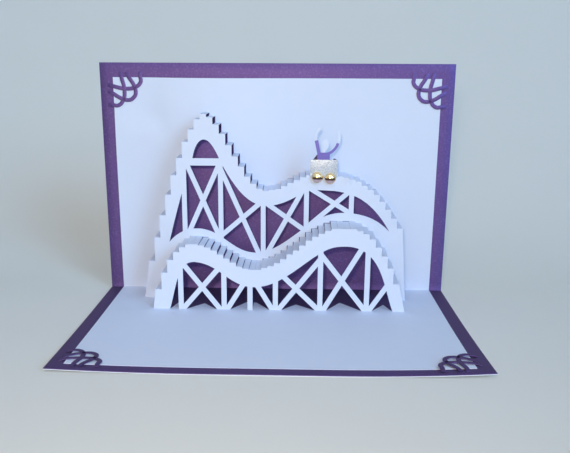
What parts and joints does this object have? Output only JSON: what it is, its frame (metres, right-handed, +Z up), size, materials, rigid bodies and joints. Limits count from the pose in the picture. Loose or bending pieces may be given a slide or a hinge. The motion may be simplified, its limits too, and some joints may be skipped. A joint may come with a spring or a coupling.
{
  "type": "pop-up card",
  "caption": "Open folding card: a white sheet cut and folded into a roller coaster with truss frames, on a purple mat with lattice corners; a small car with a rider sits on the rear track.",
  "frame": {"origin": "middle of the card's underside, with the floor panel flat on Z = 0 and the wall panel standing up behind", "axes": "+X along the crease to the viewer's right, +Y from the viewer towards the wall panel, +Z up"},
  "size_m": [0.176, 0.119, 0.1187],
  "materials": {
    "cover_card": "matt white card",
    "mat_card": "pearl purple card",
    "sheet_card": "smooth white card",
    "glitter_card": "silver glitter",
    "gilt_bead": "polished gilt",
    "figure_card": "smooth white card",
    "shirt_card": "matt lilac card",
    "seat_card": "dark purple card"
  },
  "bodies": {
    "root": {"outer_card": "cover_card", "purple_mat": "mat_card", "pop_up_sheet": "sheet_card", "car_panel": "glitter_card", "wheel_bead_left": "gilt_bead", "wheel_bead_right": "gilt_bead", "rider_figure": "figure_card", "rider_shirt": "shirt_card", "seat_back": "seat_card"}
  },
  "joints": []
}
